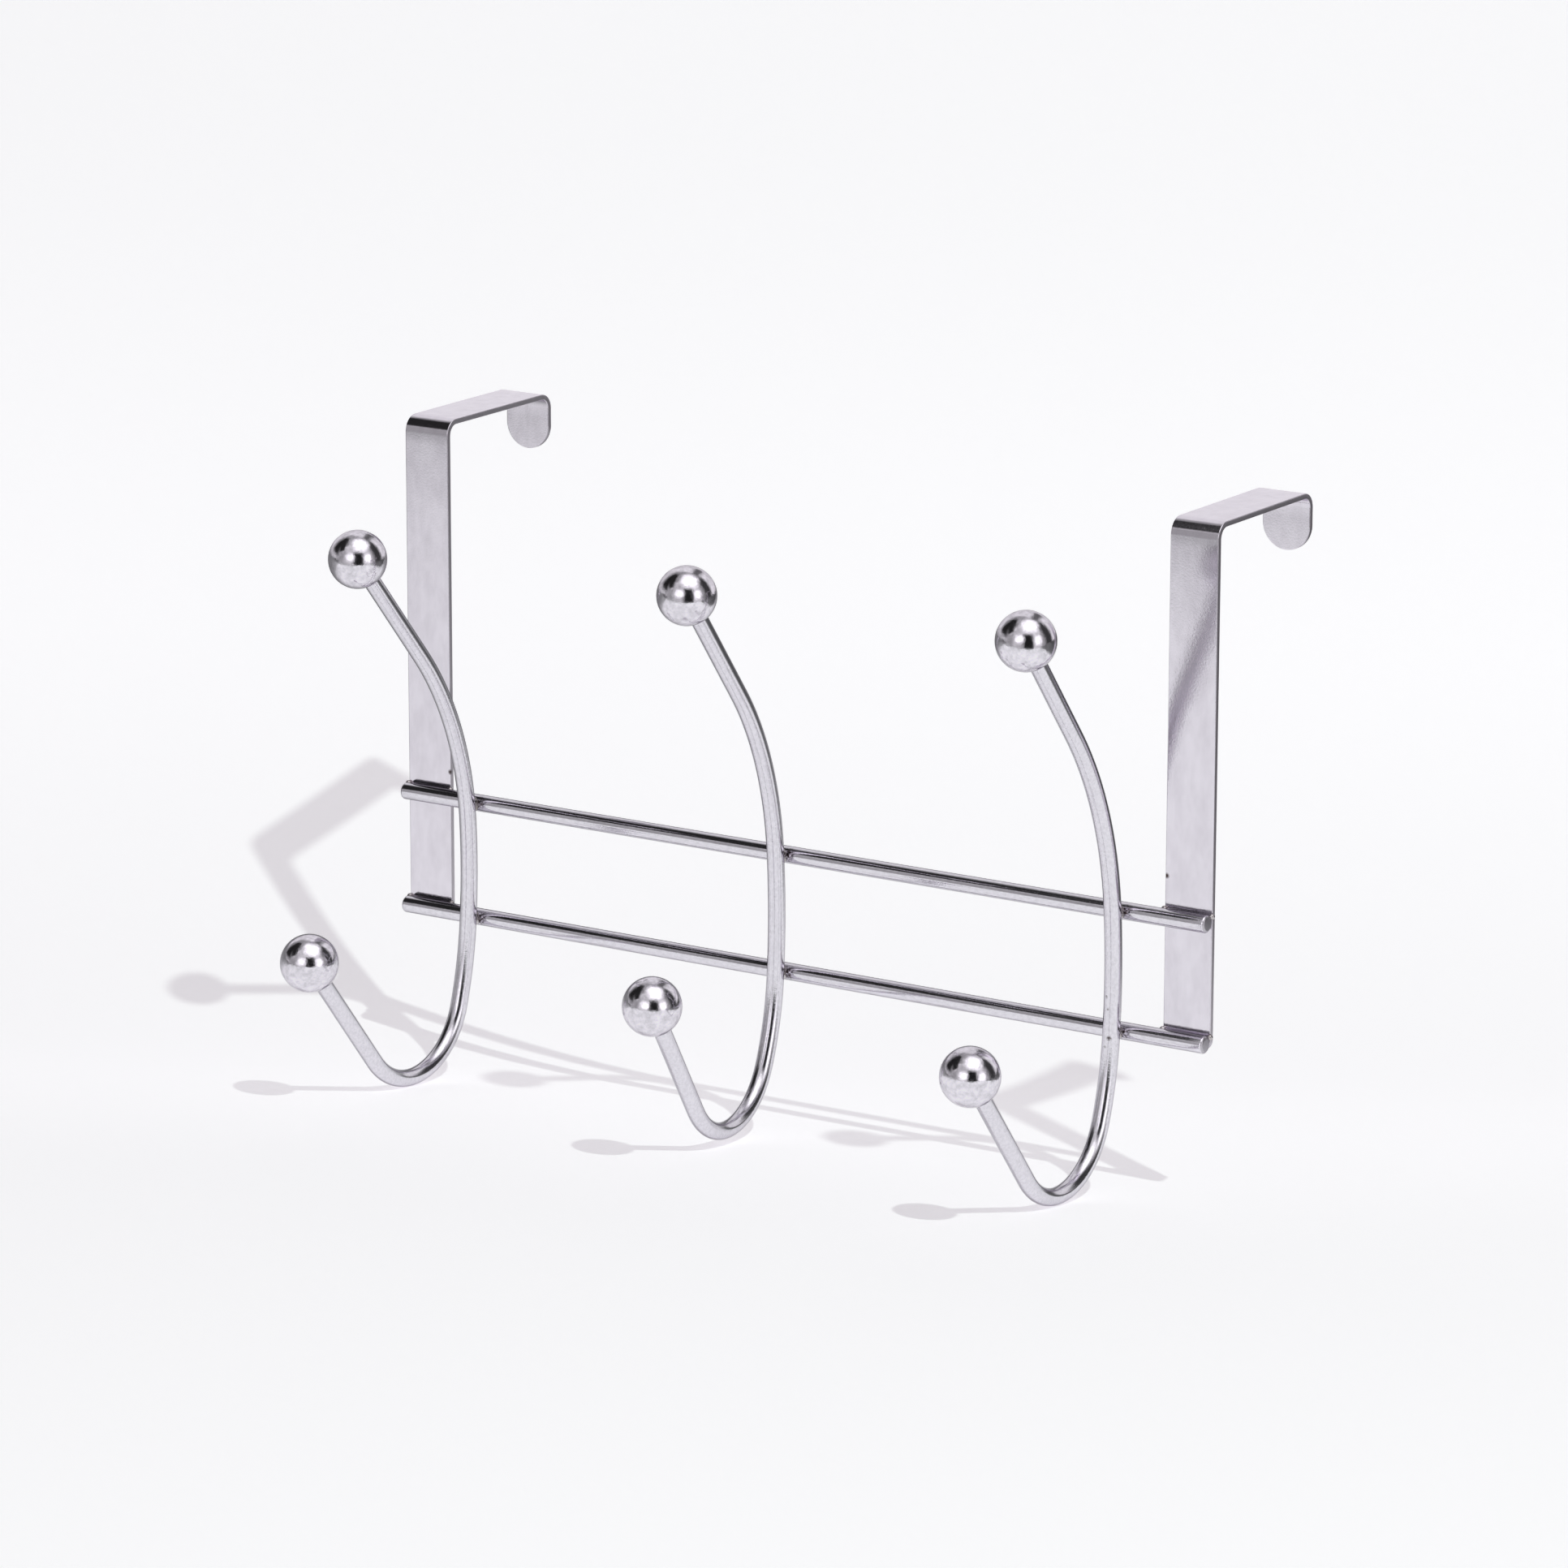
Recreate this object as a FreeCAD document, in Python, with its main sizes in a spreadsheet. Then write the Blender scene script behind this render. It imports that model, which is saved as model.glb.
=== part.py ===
import FreeCAD, Part
import Sketcher
import math
import os

# Over door hook rack: two flat straps bent over the top of a door carry two round rails,
# and three double hooks of round wire, each with a ball on both tips, are welded across the rails.
# Frame: X runs along the rails, Y points into the door, Z is up as it hangs.
# Origin: midway between the straps, on the door's front face, level with the door's top.

Vector = FreeCAD.Vector
Constraint = Sketcher.Constraint
CLOSE = 0.001

size = {
    # straps: flat bar, leg down the door's front, plate over its top, lip down its back
    "rack_width": 262.0,
    "strap_width": 14.5,
    "strap_thickness": 1.5,
    "door_gap": 47.7,
    "leg_length": 142.2,
    "lip_drop": 15.2,
    "strap_bend_radius": 3.0,
    "leg_corner_radius": 3.5,
    "lip_tip_flat": 0.3,
    "strap_edge_round": 0.25,
    # rails: round bar across the front of both straps
    "rail_dia": 4.8,
    "rail_spacing": 33.2,
    "rail_above_leg_end": 2.8,
    "rail_end_round": 0.8,
    # hook wire: round rod whose bowed back rests on both rails
    "wire_dia": 4.8,
    "back_radius": 200.0,
    "crook_radius": 22.4,
    # balls on the tips, drilled to take the wire's end
    "ball_dia": 16.2,
    "bore_depth": 6.0,
    "bore_clearance": 0.02,
    # each hook is bent by hand, so its place, turn, bends and arms are its own;
    # upper_start is how far above the upper rail's axis the upper bend begins
    "left_hook_inset": 25.1,
    "left_hook_turn_deg": -1.7,
    "left_upper_start": -4.0,
    "left_upper_radius": 87.2,
    "left_upper_turn_deg": 36.9,
    "left_upper_arm": 42.6,
    "left_sweep_radius": 110.4,
    "left_sweep_turn_deg": 12.7,
    "left_crook_turn_deg": 123.6,
    "left_lower_arm": 45.0,
    "centre_hook_offset": -2.4,
    "centre_hook_turn_deg": 4.8,
    "centre_upper_start": 1.5,
    "centre_upper_radius": 85.9,
    "centre_upper_turn_deg": 35.9,
    "centre_upper_arm": 43.8,
    "centre_sweep_radius": 68.9,
    "centre_sweep_turn_deg": 21.1,
    "centre_crook_turn_deg": 120.2,
    "centre_lower_arm": 42.5,
    "right_hook_inset": 26.4,
    "right_hook_turn_deg": 0.4,
    "right_upper_start": 0.0,
    "right_upper_radius": 96.1,
    "right_upper_turn_deg": 34.7,
    "right_upper_arm": 39.3,
    "right_sweep_radius": 88.9,
    "right_sweep_turn_deg": 15.3,
    "right_crook_turn_deg": 120.8,
    "right_lower_arm": 46.1,
    # welds: how far two bars are pressed together, and the metal squeezed out round the spot
    "weld_press": 0.1,
    "hook_weld_dia": 4.4,
    "strap_weld_dia": 1.7,
    "strap_weld_above_axis": 1.7,
    "strap_weld_off_face": 0.3,
}

doc = FreeCAD.newDocument("OverDoorHookRack")
sheet = doc.addObject("Spreadsheet::Sheet", "Sizes")
for row, (alias, value) in enumerate(size.items(), start=1):
    sheet.set(f"A{row}", alias)
    sheet.set(f"B{row}", str(value))
    sheet.setAlias(f"B{row}", alias)
doc.recompute()

# Shared places, worked out from the sheet.
LOWER_RAIL_Z = "(Sizes.rail_above_leg_end - Sizes.leg_length)"
UPPER_RAIL_Z = f"({LOWER_RAIL_Z} + Sizes.rail_spacing)"
RAIL_Y = "(Sizes.weld_press - Sizes.strap_thickness - Sizes.rail_dia / 2)"
HALF_SPACING = "(Sizes.rail_spacing / 2)"
WIRE_OFF_RAIL = "(Sizes.rail_dia / 2 + Sizes.wire_dia / 2 - Sizes.weld_press)"
HOOK_Y = (f"({RAIL_Y} + Sizes.back_radius"
          f" - sqrt((Sizes.back_radius + {WIRE_OFF_RAIL})^2 - {HALF_SPACING}^2))")
STRAP_X = "(Sizes.rack_width - Sizes.strap_width) / 2"
NO_TURN = "rotation(vector(0; 0; 1); 0)"


def place(thing, x, y, z, turn=NO_TURN):
    thing.setExpression("Placement", f"placement(vector({x}; {y}; {z}); {turn})")


def sketch_on(body, name, role):
    sketch = body.newObject("Sketcher::SketchObject", name)
    plane = next(item for item in body.Origin.OriginFeatures if item.Role == role)
    sketch.AttachmentSupport = [(plane, "")]
    sketch.MapMode = "FlatFace"
    return sketch


def add_line(sketch, start, end, construction=False):
    return sketch.addGeometry(Part.LineSegment(Vector(*start, 0), Vector(*end, 0)), construction)


def add_arc(sketch, centre, radius, start_deg, end_deg):
    circle = Part.Circle(Vector(*centre, 0), Vector(0, 0, 1), radius)
    return sketch.addGeometry(Part.ArcOfCircle(circle, math.radians(start_deg), math.radians(end_deg)))


def rule(sketch, kind, *where):
    return sketch.addConstraint(Constraint(kind, *where))


def measure(sketch, name, expression, kind, *where):
    """Adds a dimension to the sketch and ties it to the sheet."""
    index = rule(sketch, kind, *where)
    sketch.renameConstraint(index, name)
    sketch.setExpression(f"Constraints.{name}", expression)


# Straps. The section along the door is one closed outline, padded across the strap's width.


def strap_outline(body):
    """Inner face from the leg's end over the door to the lip's tip, then back along the outside."""
    thick = size["strap_thickness"]
    gap = size["door_gap"]
    low = -size["leg_length"]
    tip = -size["lip_drop"]
    bend = size["strap_bend_radius"]
    outer = bend + thick
    sketch = sketch_on(body, body.Name + "Outline", "YZ_Plane")

    leg_in = add_line(sketch, (0, low), (0, -bend))
    front_in = add_arc(sketch, (bend, -bend), bend, 90, 180)
    plate_in = add_line(sketch, (bend, 0), (gap - bend, 0))
    back_in = add_arc(sketch, (gap - bend, -bend), bend, 0, 90)
    lip_in = add_line(sketch, (gap, -bend), (gap, tip))
    lip_end = add_line(sketch, (gap, tip), (gap + thick, tip))
    lip_out = add_line(sketch, (gap + thick, tip), (gap + thick, -bend))
    back_out = add_arc(sketch, (gap - bend, -bend), outer, 0, 90)
    plate_out = add_line(sketch, (gap - bend, thick), (bend, thick))
    front_out = add_arc(sketch, (bend, -bend), outer, 90, 180)
    leg_out = add_line(sketch, (-thick, -bend), (-thick, low))
    leg_end = add_line(sketch, (-thick, low), (0, low))

    for joint in ((leg_in, 2, front_in, 2), (front_in, 1, plate_in, 1), (plate_in, 2, back_in, 2),
                  (back_in, 1, lip_in, 1), (lip_out, 2, back_out, 1), (back_out, 2, plate_out, 1),
                  (plate_out, 2, front_out, 1), (front_out, 2, leg_out, 1)):
        rule(sketch, "Tangent", *joint)
    for corner in ((lip_in, 2, lip_end, 1), (lip_end, 2, lip_out, 1),
                   (leg_out, 2, leg_end, 1), (leg_end, 2, leg_in, 1),
                   (front_in, 3, front_out, 3), (back_in, 3, back_out, 3)):
        rule(sketch, "Coincident", *corner)
    for upright in (leg_in, lip_in, lip_out, leg_out):
        rule(sketch, "Vertical", upright)
    for level in (plate_in, lip_end, plate_out, leg_end):
        rule(sketch, "Horizontal", level)
    rule(sketch, "PointOnObject", leg_in, 1, -2)
    rule(sketch, "PointOnObject", plate_in, 1, -1)
    rule(sketch, "Equal", front_in, back_in)
    measure(sketch, "thickness", "Sizes.strap_thickness", "DistanceX", leg_end, 1, leg_end, 2, thick)
    measure(sketch, "gap", "Sizes.door_gap", "DistanceX", -1, 1, lip_in, 2, gap)
    measure(sketch, "leg", "Sizes.leg_length", "DistanceY", leg_in, 1, -1, 1, -low)
    measure(sketch, "lip", "Sizes.lip_drop", "DistanceY", lip_in, 2, -1, 1, -tip)
    measure(sketch, "bend", "Sizes.strap_bend_radius", "Radius", front_in, bend)
    return sketch


def corners_at(shape, level):
    """The short edges through the flat bar's thickness at the given height."""
    found = []
    for number, edge in enumerate(shape.Edges, start=1):
        ends = [vertex.Point for vertex in edge.Vertexes]
        if all(abs(p.z - level) < CLOSE for p in ends) and abs(ends[0].x - ends[-1].x) < CLOSE:
            found.append(f"Edge{number}")
    return found


def long_edges(shape):
    """Every edge that runs along the bar or round its ends, between a wide face and a narrow one."""
    found = []
    for number, edge in enumerate(shape.Edges, start=1):
        middle = edge.valueAt(sum(edge.ParameterRange) / 2)
        one, other = (face.normalAt(*face.Surface.parameter(middle))
                      for face in shape.ancestorsOfType(edge, Part.Face))
        if abs(one.dot(other)) < CLOSE:
            found.append(f"Edge{number}")
    return found


def make_strap(label, x):
    body = doc.addObject("PartDesign::Body", label.title().replace("_", ""))
    body.Label = label
    pad = body.newObject("PartDesign::Pad", body.Name + "Bent")
    pad.Profile = strap_outline(body)
    pad.SideType = "Symmetric"
    pad.setExpression("Length", "Sizes.strap_width")
    doc.recompute()
    leg_corners = body.newObject("PartDesign::Fillet", body.Name + "LegCorners")
    leg_corners.Base = (pad, corners_at(pad.Shape, -size["leg_length"]))
    leg_corners.setExpression("Radius", "Sizes.leg_corner_radius")
    doc.recompute()
    lip_tip = body.newObject("PartDesign::Fillet", body.Name + "LipTip")
    lip_tip.Base = (leg_corners, corners_at(leg_corners.Shape, -size["lip_drop"]))
    lip_tip.setExpression("Radius", "(Sizes.strap_width - Sizes.lip_tip_flat) / 2")
    doc.recompute()
    soft_edges = body.newObject("PartDesign::Fillet", body.Name + "SoftEdges")
    soft_edges.Base = (lip_tip, long_edges(lip_tip.Shape))
    soft_edges.setExpression("Radius", "Sizes.strap_edge_round")
    place(body, x, "0", "0")
    return body


left_strap = make_strap("left_strap", f"-{STRAP_X}")
right_strap = make_strap("right_strap", STRAP_X)


# Hooks. Each is one rod bent in one plane, with its origin where the bowed back comes nearest
# to the door, midway between the rails. The path starts and ends short of the balls' centres,
# at the floor of each ball's bore, and two unseen tails carry it on to those centres.


def hook_path(body, side):
    own = {name: size[f"{side}_{name}"] for name in (
        "upper_start", "upper_radius", "upper_turn_deg", "upper_arm",
        "sweep_radius", "sweep_turn_deg", "crook_turn_deg", "lower_arm")}
    half = size["rail_spacing"] / 2
    back_radius = size["back_radius"]
    crook_radius = size["crook_radius"]
    upper_angle = math.degrees(math.asin((half + own["upper_start"]) / back_radius))
    lower_angle = math.degrees(math.asin(half / back_radius))
    lean = upper_angle + own["upper_turn_deg"]
    sweep = lower_angle + own["sweep_turn_deg"]
    heading = sweep + own["crook_turn_deg"]
    tail = size["ball_dia"] / 2 - size["bore_depth"]
    upper_arm = own["upper_arm"] - tail
    lower_arm = own["lower_arm"] - tail
    sketch = sketch_on(body, body.Name + "Path", "YZ_Plane")

    def towards(degrees):
        return Vector(math.cos(math.radians(degrees)), math.sin(math.radians(degrees)), 0)

    back_centre = Vector(-back_radius, 0, 0)
    bend_centre = back_centre + towards(upper_angle) * (back_radius - own["upper_radius"])
    bend_end = bend_centre + towards(lean) * own["upper_radius"]
    sweep_centre = back_centre + towards(-lower_angle) * (back_radius - own["sweep_radius"])
    crook_centre = sweep_centre + towards(-sweep) * (own["sweep_radius"] - crook_radius)
    crook_end = crook_centre + towards(-heading) * crook_radius
    upper_end = bend_end + towards(lean + 90) * upper_arm
    lower_end = crook_end + towards(-heading - 90) * lower_arm
    upper_ball = upper_end + towards(lean + 90) * tail
    lower_ball = lower_end + towards(-heading - 90) * tail

    back_up = add_arc(sketch, back_centre[:2], back_radius, 0, upper_angle)
    back_down = add_arc(sketch, back_centre[:2], back_radius, -lower_angle, 0)
    bend = add_arc(sketch, bend_centre[:2], own["upper_radius"], upper_angle, lean)
    upper = add_line(sketch, bend_end[:2], upper_end[:2])
    slope = add_arc(sketch, sweep_centre[:2], own["sweep_radius"], -sweep, -lower_angle)
    crook = add_arc(sketch, crook_centre[:2], crook_radius, -heading, -sweep)
    lower = add_line(sketch, crook_end[:2], lower_end[:2])
    upper_tail = add_line(sketch, upper_end[:2], upper_ball[:2], construction=True)
    lower_tail = add_line(sketch, lower_end[:2], lower_ball[:2], construction=True)

    for joint in ((back_up, 2, bend, 1), (bend, 2, upper, 1), (slope, 2, back_down, 1),
                  (crook, 2, slope, 1), (crook, 1, lower, 1),
                  (upper, 2, upper_tail, 1), (lower, 2, lower_tail, 1)):
        rule(sketch, "Tangent", *joint)
    rule(sketch, "Coincident", back_up, 1, -1, 1)
    rule(sketch, "Coincident", back_down, 2, -1, 1)
    rule(sketch, "Coincident", back_up, 3, back_down, 3)
    rule(sketch, "PointOnObject", back_up, 3, -1)
    bore_end = "Sizes.ball_dia / 2 - Sizes.bore_depth"
    upper_height = f"{HALF_SPACING} + Sizes.{side}_upper_start"
    for name, expression, kind, *where in (
        ("back", "Sizes.back_radius", "Radius", back_up, back_radius),
        ("upper_start", upper_height, "DistanceY", -1, 1, back_up, 2, half + own["upper_start"]),
        ("lower_start", HALF_SPACING, "DistanceY", back_down, 1, -1, 1, half),
        ("upper_bend", f"Sizes.{side}_upper_radius", "Radius", bend, own["upper_radius"]),
        ("upper_turn", f"Sizes.{side}_upper_turn_deg * 1deg", "Angle", bend,
         math.radians(own["upper_turn_deg"])),
        ("upper_arm", f"Sizes.{side}_upper_arm - ({bore_end})", "Distance", upper, upper_arm),
        ("sweep", f"Sizes.{side}_sweep_radius", "Radius", slope, own["sweep_radius"]),
        ("sweep_turn", f"Sizes.{side}_sweep_turn_deg * 1deg", "Angle", slope,
         math.radians(own["sweep_turn_deg"])),
        ("crook", "Sizes.crook_radius", "Radius", crook, crook_radius),
        ("crook_turn", f"Sizes.{side}_crook_turn_deg * 1deg", "Angle", crook,
         math.radians(own["crook_turn_deg"])),
        ("lower_arm", f"Sizes.{side}_lower_arm - ({bore_end})", "Distance", lower, lower_arm),
        ("upper_tail", bore_end, "Distance", upper_tail, tail),
        ("lower_tail", bore_end, "Distance", lower_tail, tail),
    ):
        measure(sketch, name, expression, kind, *where)
    for name, end, centre in (("upper", upper_tail, upper_ball), ("lower", lower_tail, lower_ball)):
        read_out(sketch, f"{name}_ball_y", "DistanceX", end, 2, centre.x)
        read_out(sketch, f"{name}_ball_z", "DistanceY", end, 2, centre.y)
    return sketch


def read_out(sketch, name, kind, *where):
    """A dimension that only reports where a point came to lie."""
    index = rule(sketch, kind, *where)
    sketch.renameConstraint(index, name)
    sketch.setDriving(index, False)


def make_hook(side, x):
    body = doc.addObject("PartDesign::Body", side.title() + "Hook")
    body.Label = f"{side}_hook"
    path = hook_path(body, side)
    section = sketch_on(body, body.Name + "Section", "XY_Plane")
    circle = section.addGeometry(Part.Circle(Vector(0, 0, 0), Vector(0, 0, 1), size["wire_dia"] / 2))
    rule(section, "Coincident", circle, 3, -1, 1)
    measure(section, "wire", "Sizes.wire_dia", "Diameter", circle, size["wire_dia"])
    rod = body.newObject("PartDesign::AdditivePipe", body.Name + "Rod")
    rod.Profile = section
    rod.Spine = (path, [])
    turn = f"rotation(vector(0; 0; 1); Sizes.{side}_hook_turn_deg * 1deg)"
    place(body, x, HOOK_Y, f"{LOWER_RAIL_Z} + {HALF_SPACING}", turn)
    return body


hook_places = {
    "left": "(Sizes.left_hook_inset - Sizes.rack_width / 2)",
    "centre": "(Sizes.centre_hook_offset)",
    "right": "(Sizes.rack_width / 2 - Sizes.right_hook_inset)",
}
hooks = {side: make_hook(side, x) for side, x in hook_places.items()}


# Balls. Solid turned balls with a blind bore that opens downwards in the ball's own frame.


def make_ball(side, end):
    body = doc.addObject("PartDesign::Body", f"{side.title()}{end.title()}Ball")
    body.Label = f"{side}_{end}_ball"
    radius = size["ball_dia"] / 2
    bore = size["wire_dia"] / 2 + size["bore_clearance"]
    floor = size["bore_depth"] - radius
    mouth = math.degrees(math.asin(bore / radius)) - 90
    mouth_z = -math.sqrt(radius**2 - bore**2)
    outline = sketch_on(body, body.Name + "Outline", "XZ_Plane")
    axis = add_line(outline, (0, floor), (0, radius))
    skin = add_arc(outline, (0, 0), radius, mouth, 90)
    wall = add_line(outline, (bore, mouth_z), (bore, floor))
    base = add_line(outline, (bore, floor), (0, floor))
    for corner in ((axis, 2, skin, 2), (skin, 1, wall, 1), (wall, 2, base, 1), (base, 2, axis, 1),
                   (skin, 3, -1, 1)):
        rule(outline, "Coincident", *corner)
    rule(outline, "PointOnObject", axis, 1, -2)
    rule(outline, "Vertical", axis)
    rule(outline, "Vertical", wall)
    rule(outline, "Horizontal", base)
    bore_radius = "Sizes.wire_dia / 2 + Sizes.bore_clearance"
    measure(outline, "skin", "Sizes.ball_dia / 2", "Radius", skin, radius)
    measure(outline, "bore", bore_radius, "DistanceX", -1, 1, wall, 2, bore)
    measure(outline, "floor", "Sizes.ball_dia / 2 - Sizes.bore_depth", "DistanceY", base, 2, -1, 1, -floor)
    turned = body.newObject("PartDesign::Revolution", body.Name + "Turned")
    turned.Profile = outline
    turned.ReferenceAxis = (outline, ["V_Axis"])
    return body


def seat_ball(ball, hook, side, end):
    """Puts the ball on the end of its arm, with its bore along the wire."""
    path = hook.Name + "Path"
    point = f"vector(0; {path}.Constraints.{end}_ball_y; {path}.Constraints.{end}_ball_z)"
    if end == "upper":
        start = f"asin(({HALF_SPACING} + Sizes.{side}_upper_start) / Sizes.back_radius)"
        lean = f"{start} + Sizes.{side}_upper_turn_deg * 1deg"
    else:
        start = f"asin({HALF_SPACING} / Sizes.back_radius)"
        bends = f"(Sizes.{side}_sweep_turn_deg + Sizes.{side}_crook_turn_deg) * 1deg"
        lean = f"180deg - {start} - {bends}"
    seat = f"placement({point}; rotation(vector(1; 0; 0); {lean}))"
    ball.setExpression("Placement", f"{hook.Name}.Placement * {seat}")


balls = []
for side, hook in hooks.items():
    for end in ("upper", "lower"):
        ball = make_ball(side, end)
        seat_ball(ball, hook, side, end)
        balls.append(ball)


# Rails. Round bar with softly rounded ends, pressed a little into the straps and the hooks,
# so that each crossing shows a small flat or saddle instead of a bare touching line.


def make_bar(name, z):
    bar = doc.addObject("PartDesign::Body", name)
    section = sketch_on(bar, name + "Section", "YZ_Plane")
    circle = section.addGeometry(Part.Circle(Vector(0, 0, 0), Vector(0, 0, 1), size["rail_dia"] / 2))
    rule(section, "Coincident", circle, 3, -1, 1)
    measure(section, "rail", "Sizes.rail_dia", "Diameter", circle, size["rail_dia"])
    pad = bar.newObject("PartDesign::Pad", name + "Length")
    pad.Profile = section
    pad.SideType = "Symmetric"
    pad.setExpression("Length", "Sizes.rack_width")
    doc.recompute()
    rims = [f"Edge{i}" for i, edge in enumerate(pad.Shape.Edges, start=1)
            if edge.Curve.TypeId == "Part::GeomCircle"]
    ends = bar.newObject("PartDesign::Fillet", name + "Ends")
    ends.Base = (pad, rims)
    ends.setExpression("Radius", "Sizes.rail_end_round")
    place(bar, "0", RAIL_Y, z)
    return bar


def cut(name, base, tool):
    result = doc.addObject("Part::Cut", name)
    result.Base = base
    result.Tool = tool
    return result


def group(name, members):
    result = doc.addObject("Part::Compound", name)
    result.Links = members
    return result


straps = {"left": left_strap, "right": right_strap}
pressed = group("PressedAgainstRails", [*straps.values(), *hooks.values()])
rail_heights = {"upper": UPPER_RAIL_Z, "lower": LOWER_RAIL_Z}
bars = {level: make_bar(f"{level.title()}Bar", z) for level, z in rail_heights.items()}
rails = []
for level, bar in bars.items():
    rail = cut(f"{level.title()}Rail", bar, pressed)
    rail.Label = f"{level}_rail"
    rails.append(rail)


# Welds. At each crossing a ring of metal is squeezed out of the spot between the two round bars.
# Where a rail lies on a strap, a small bead stands in the nook above it at both edges of the strap.


def bead(name, diameter, x, y, z, bar, neighbour):
    drop = doc.addObject("Part::Sphere", name + "Drop")
    drop.setExpression("Radius", f"{diameter} / 2")
    place(drop, x, y, z)
    beside_bar = cut(name + "BesideBar", drop, bar)
    return cut(name, beside_bar, neighbour)


hook_welds = []
strap_welds = []
for level, z in rail_heights.items():
    bar = bars[level]
    for side, hook in hooks.items():
        name = f"{side.title()}{level.title()}HookWeld"
        spot_y = f"{RAIL_Y} + (Sizes.weld_press - Sizes.rail_dia) / 2"
        hook_welds.append(bead(name, "Sizes.hook_weld_dia", hook_places[side], spot_y, z, bar, hook))
    for side, strap in straps.items():
        middle = STRAP_X if side == "right" else f"-{STRAP_X}"
        for edge, way in (("Left", "-"), ("Right", "+")):
            name = f"{side.title()}{level.title()}StrapWeld{edge}"
            x = f"{middle} {way} Sizes.strap_width / 2"
            y = "-Sizes.strap_thickness - Sizes.strap_weld_off_face"
            above = f"{z} + Sizes.strap_weld_above_axis"
            strap_welds.append(bead(name, "Sizes.strap_weld_dia", x, y, above, bar, strap))

rail_hook_welds = group("RailHookWelds", hook_welds)
rail_hook_welds.Label = "rail_hook_welds"
rail_strap_welds = group("RailStrapWelds", strap_welds)
rail_strap_welds.Label = "rail_strap_welds"

nodes = [*straps.values(), *rails, *hooks.values(), *balls, rail_hook_welds, rail_strap_welds]
doc.recompute()


# Every feature has to be sound before anything is written.
for item in doc.Objects:
    if "Invalid" in item.State or "Error" in item.State:
        raise RuntimeError(f"{item.Label} failed: {item.State}")
for node in nodes:
    if node.Shape.isNull() or not node.Shape.isValid():
        raise RuntimeError(f"{node.Label} has no sound shape")
for hook in hooks.values():
    run = doc.getObject(hook.Name + "Path").Shape.Length
    expected = run * math.pi * size["wire_dia"]**2 / 4
    if abs(hook.Shape.Volume / expected - 1) > CLOSE:
        raise RuntimeError(f"{hook.Label} is not a full sweep of its path")

os.makedirs("parts", exist_ok=True)
for node in nodes:
    node.Shape.exportStep(f"parts/{node.Label}.step")
    print(node.Label, len(node.Shape.Solids), round(node.Shape.Volume, 1))
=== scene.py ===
import math

import bmesh
import bpy
from mathutils import Matrix, Vector


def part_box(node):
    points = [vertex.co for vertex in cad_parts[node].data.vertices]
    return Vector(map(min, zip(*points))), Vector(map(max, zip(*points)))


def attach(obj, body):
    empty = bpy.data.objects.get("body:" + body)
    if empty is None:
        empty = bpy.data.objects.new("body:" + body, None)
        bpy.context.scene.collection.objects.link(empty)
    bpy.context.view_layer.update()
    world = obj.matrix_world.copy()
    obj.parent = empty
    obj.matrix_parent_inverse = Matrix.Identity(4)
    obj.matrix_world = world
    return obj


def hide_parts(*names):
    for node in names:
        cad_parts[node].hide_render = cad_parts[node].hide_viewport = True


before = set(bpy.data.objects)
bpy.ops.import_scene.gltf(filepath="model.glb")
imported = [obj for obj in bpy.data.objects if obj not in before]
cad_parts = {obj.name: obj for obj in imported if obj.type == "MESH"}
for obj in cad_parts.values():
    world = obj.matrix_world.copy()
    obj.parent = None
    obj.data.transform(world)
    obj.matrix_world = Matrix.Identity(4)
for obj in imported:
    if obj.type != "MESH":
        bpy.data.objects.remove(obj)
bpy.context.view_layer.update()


# Hook rods. Three lengths of round steel wire, each bent in one plane: an upper arm, a slightly
# bowed back that lies against both rails, a wide crook and a lower arm. They are bent by hand on a
# jig and spot welded to the rails, so each has bends, arms and a turn of its own.
MM = 0.001
wire_dia = 4.8 * MM
wire_sides = 48
back_radius = 200.0 * MM
crook_radius = 22.4 * MM
weld_press = 0.1 * MM
degrees_per_point = 1.0
ball_dia = 16.2 * MM
bore_depth = 6.0 * MM

rail_low = {level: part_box(f"{level}_rail")[0] for level in ("upper", "lower")}
rail_high = {level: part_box(f"{level}_rail")[1] for level in ("upper", "lower")}
rail_z = {level: (rail_low[level].z + rail_high[level].z) / 2 for level in ("upper", "lower")}
rail_dia = rail_high["lower"].z - rail_low["lower"].z
rail_end = rail_high["lower"].x
rail_y = rail_high["lower"].y - rail_dia / 2
half_spacing = (rail_z["upper"] - rail_z["lower"]) / 2
wire_off_rail = rail_dia / 2 + wire_dia / 2 - weld_press
hook_y = rail_y + back_radius - math.sqrt((back_radius + wire_off_rail) ** 2 - half_spacing**2)

# Lengths are in millimetres and turns in degrees. The outer rods' x is given from the rails' ends,
# and start is how far above the upper rail the rod leaves its bowed back.
hook_bends = {
    "left": {"x": 25.1 - rail_end / MM, "turn": -1.7, "start": -4.0,
             "upper_radius": 87.2, "upper_turn": 36.9, "upper_arm": 42.6,
             "sweep_radius": 110.4, "sweep_turn": 12.7, "crook_turn": 123.6, "lower_arm": 45.0},
    "centre": {"x": -2.4, "turn": 4.8, "start": 1.5,
               "upper_radius": 85.9, "upper_turn": 35.9, "upper_arm": 43.8,
               "sweep_radius": 68.9, "sweep_turn": 21.1, "crook_turn": 120.2, "lower_arm": 42.5},
    "right": {"x": rail_end / MM - 26.4, "turn": 0.4, "start": 0.0,
              "upper_radius": 96.1, "upper_turn": 34.7, "upper_arm": 39.3,
              "sweep_radius": 88.9, "sweep_turn": 15.3, "crook_turn": 120.8, "lower_arm": 46.1},
}


def unit(degrees):
    """Direction at a turn in degrees."""
    return Vector((math.cos(math.radians(degrees)), math.sin(math.radians(degrees))))


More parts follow.
